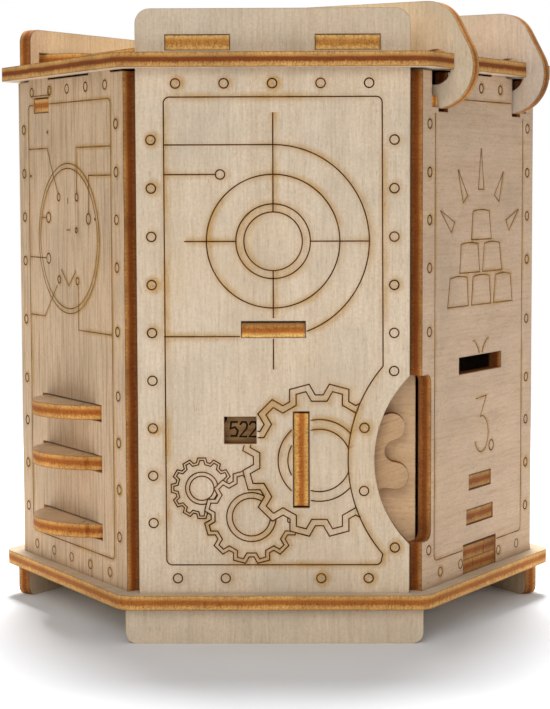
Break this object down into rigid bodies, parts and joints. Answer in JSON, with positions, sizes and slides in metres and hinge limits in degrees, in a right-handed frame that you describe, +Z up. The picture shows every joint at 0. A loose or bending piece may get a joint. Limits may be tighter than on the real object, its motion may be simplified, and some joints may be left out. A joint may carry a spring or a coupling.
{
  "type": "puzzle box",
  "caption": "Hexagonal laser-cut plywood puzzle box with a hooked lid, a lobed number wheel, stacked code dials and a coin slot.",
  "frame": {"origin": "centre line of the box, on the plane its three feet stand on", "axes": "+Z up, -Y out of the front wall, +X to the right seen from the front"},
  "size_m": [0.164, 0.1436, 0.1743],
  "materials": {
    "wall_ply": "matte plywood face",
    "plate_ply": "matte plywood face",
    "rib_ply": "matte plywood, darker cut edges",
    "dial_ply": "matte plywood, darker cut edges",
    "dowel_wood": "matte dowel"
  },
  "bodies": {
    "box": {"base_plate": "plate_ply", "top_plate": "plate_ply", "front_wall": "wall_ply", "left_front_wall": "wall_ply", "right_front_wall": "wall_ply", "left_back_wall": "wall_ply", "right_back_wall": "wall_ply", "back_wall": "wall_ply", "front_key": "rib_ply", "left_back_key": "rib_ply", "right_back_key": "rib_ply", "mid_shelf": "plate_ply", "floor_lower_front": "plate_ply", "floor_lower_back": "plate_ply", "floor_upper_front": "plate_ply", "floor_upper_back": "plate_ply", "step_wall": "plate_ply", "coin_step_upper": "plate_ply", "coin_step_lower": "plate_ply", "wheel_backplate": "plate_ply", "wheel_rib": "rib_ply", "dial_axle": "dowel_wood", "dial_spacers": "dowel_wood", "bolt_tray": "plate_ply", "bolt_hanger_left": "rib_ply", "bolt_hanger_right": "rib_ply", "hinge_cheek_front": "rib_ply", "hinge_cheek_back": "rib_ply"},
    "lid": {"lid_plate": "plate_ply", "lid_arm_front": "rib_ply", "lid_arm_back": "rib_ply", "lid_tongue": "rib_ply"},
    "wheel": {"number_wheel": "dial_ply"},
    "dial_top": {"code_dial_top": "dial_ply"},
    "dial_middle": {"code_dial_middle": "dial_ply"},
    "dial_bottom": {"code_dial_bottom": "dial_ply"},
    "bar": {"lock_bar": "rib_ply"},
    "slider": {"bolt": "rib_ply"}
  },
  "joints": [
    {"name": "lid_hinge", "type": "hinge", "parent": "box", "child": "lid", "pos_m": [0.05716, -0.033, 0.1564], "axis": [0.5, 0.866, 0], "range_deg": [0, 64]},
    {"name": "number_wheel_turn", "type": "hinge", "parent": "box", "child": "wheel", "pos_m": [0.00742, -0.0611, 0.05044], "axis": [0, 1, 0], "continuous": true},
    {"name": "code_dial_top_turn", "type": "hinge", "parent": "box", "child": "dial_top", "pos_m": [-0.04971, -0.0287, 0.0613], "axis": [0, 0, 1], "continuous": true},
    {"name": "code_dial_middle_turn", "type": "hinge", "parent": "box", "child": "dial_middle", "pos_m": [-0.04971, -0.0287, 0.04705], "axis": [0, 0, 1], "continuous": true},
    {"name": "code_dial_bottom_turn", "type": "hinge", "parent": "box", "child": "dial_bottom", "pos_m": [-0.04971, -0.0287, 0.0279], "axis": [0, 0, 1], "continuous": true},
    {"name": "lock_bar_lift", "type": "slide", "parent": "box", "child": "bar", "axis": [0, 0, 1], "range_m": [0, 0.0082]},
    {"name": "bolt_slide", "type": "slide", "parent": "box", "child": "slider", "axis": [0.866, 0.5, 0], "range_m": [0, 0.007]}
  ]
}
